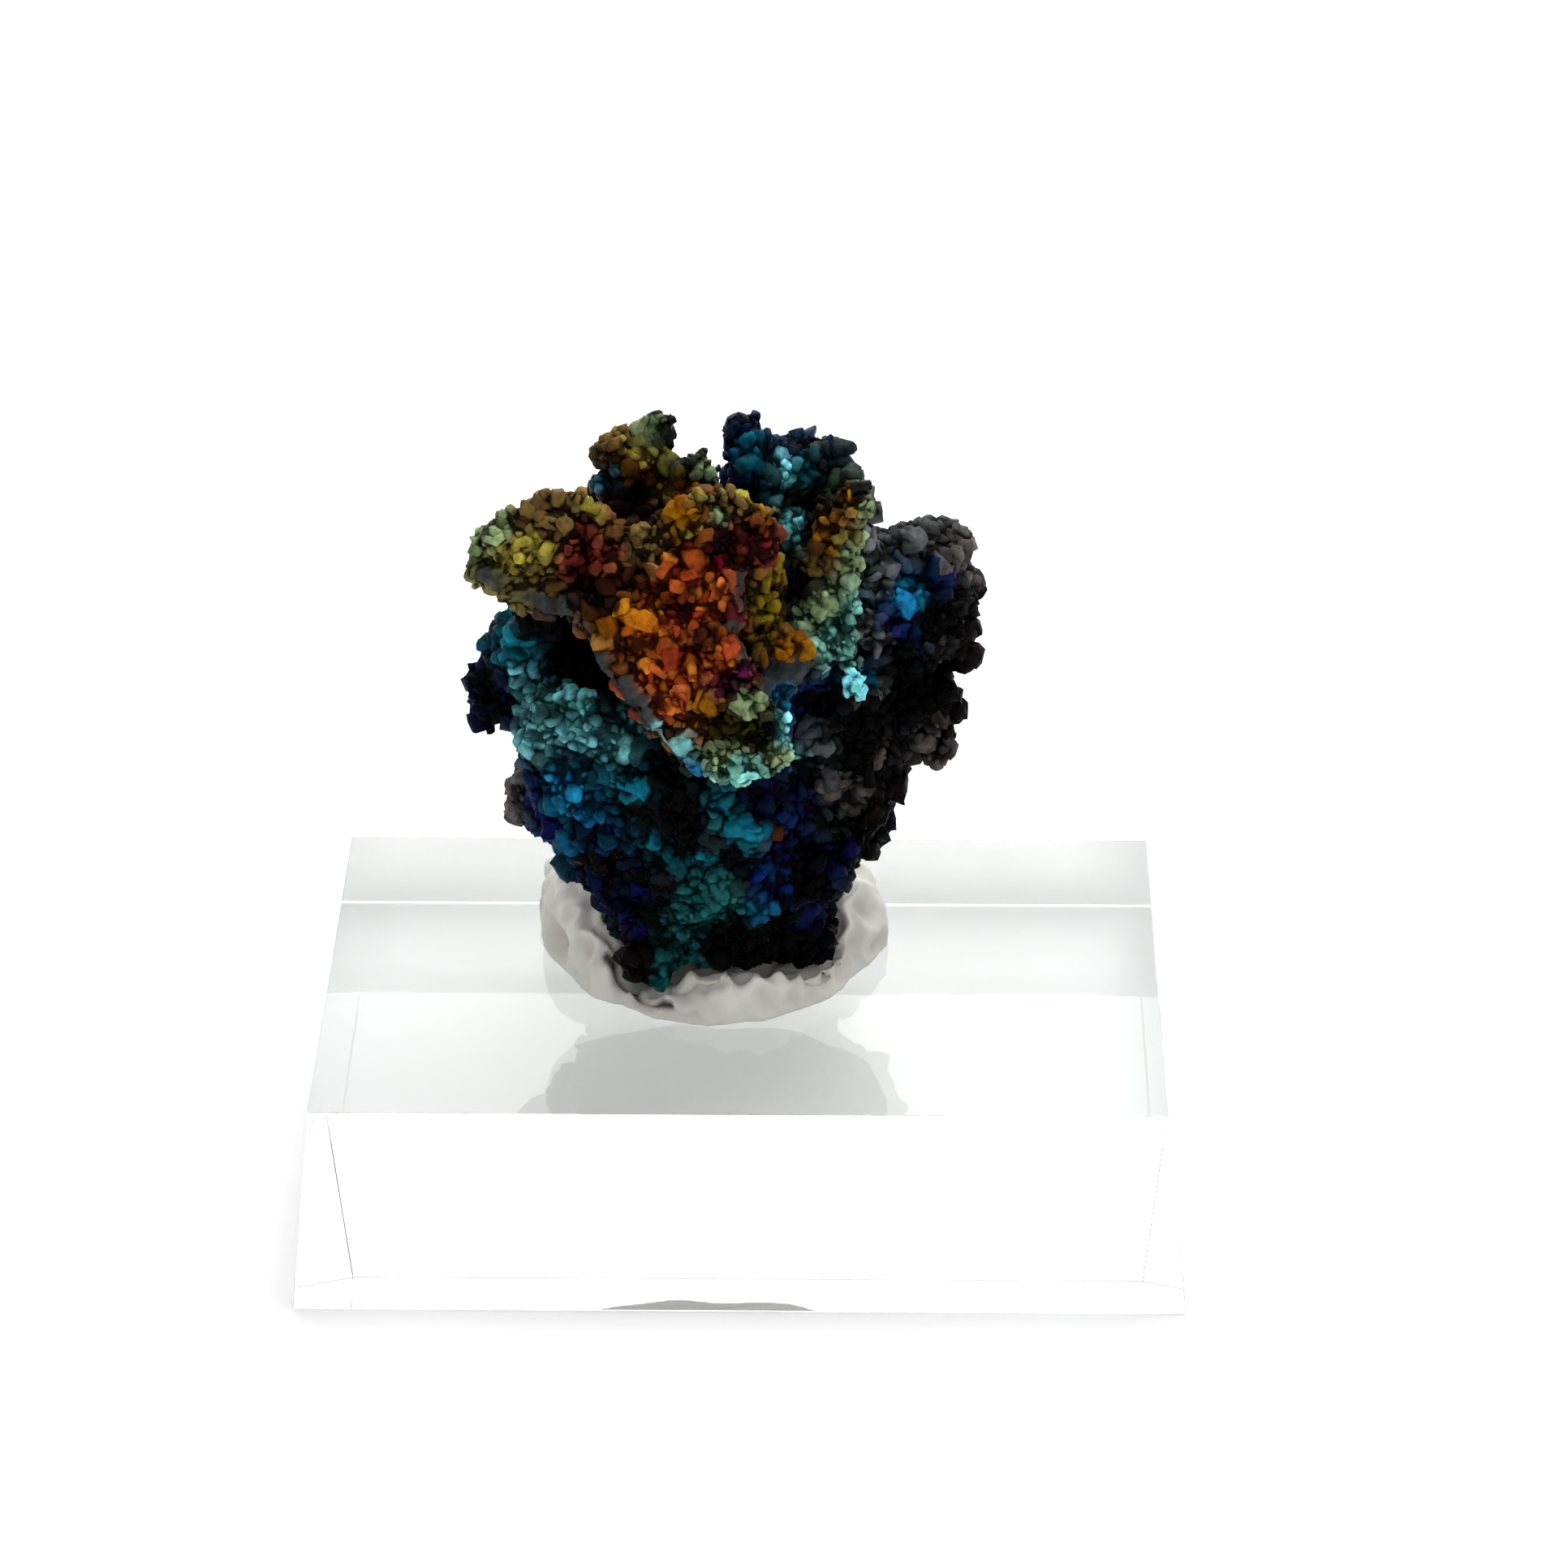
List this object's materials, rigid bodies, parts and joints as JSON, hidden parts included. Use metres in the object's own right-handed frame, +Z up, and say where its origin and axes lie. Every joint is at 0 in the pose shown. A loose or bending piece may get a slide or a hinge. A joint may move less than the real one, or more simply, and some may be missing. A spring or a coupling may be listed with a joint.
{
  "type": "goethite mineral specimen on a display block",
  "caption": "Knobbly iridescent goethite specimen, narrow at the foot, seated in white putty on a low clear acrylic block.",
  "frame": {"origin": "centre of the acrylic block's underside", "axes": "+X along the block's long side, to the right as the specimen is shown, +Y away from the viewer, +Z up"},
  "size_m": [0.04, 0.025, 0.0391],
  "materials": {
    "goethite": "knobbly, semi-metallic, iridescent from gold and red to teal and navy",
    "putty": "kneaded white mineral putty, slightly waxy",
    "acrylic": "polished clear acrylic"
  },
  "bodies": {
    "root": {"goethite": "goethite", "putty": "putty", "acrylic_block": "acrylic"}
  },
  "joints": []
}
